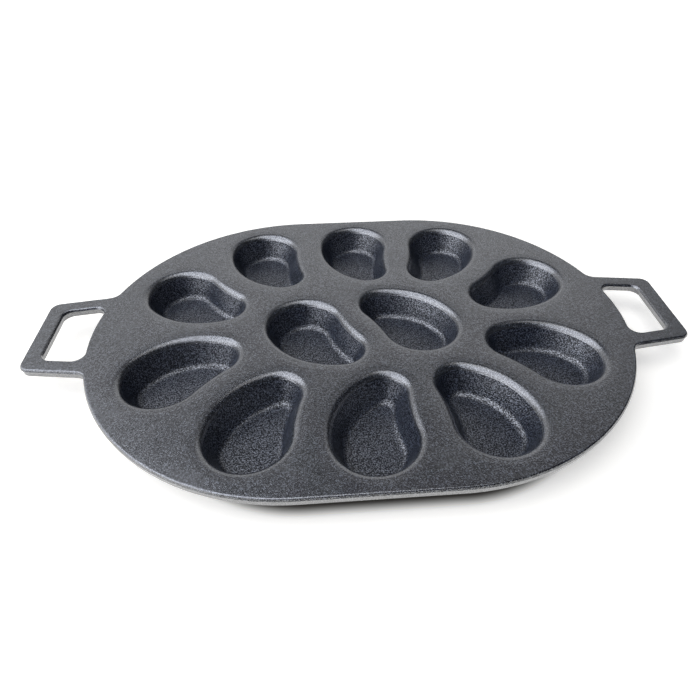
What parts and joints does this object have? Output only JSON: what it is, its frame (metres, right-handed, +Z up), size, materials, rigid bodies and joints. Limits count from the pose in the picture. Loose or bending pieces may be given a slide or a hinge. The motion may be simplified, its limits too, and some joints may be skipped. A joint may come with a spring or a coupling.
{
  "type": "oyster grill pan",
  "caption": "Oval cast-iron pan with oyster-shaped wells sunk in a flat deck and a flat loop handle at each end, for grilling or baking oysters.",
  "frame": {"origin": "under the middle of the pan, on the surface that it stands on", "axes": "+X along the pan from handle to handle, +Y across it towards the back, +Z up"},
  "size_m": [0.535, 0.34, 0.028],
  "materials": {
    "iron": "seasoned sand casting, satin black"
  },
  "bodies": {
    "root": {"deck_plate": "iron", "rim_skirt": "iron", "handle_left": "iron", "handle_right": "iron", "well_01": "iron", "well_02": "iron", "well_03": "iron", "well_04": "iron", "well_05": "iron", "well_06": "iron", "well_07": "iron", "well_08": "iron", "well_09": "iron", "well_10": "iron", "well_11": "iron", "well_12": "iron"}
  },
  "joints": []
}
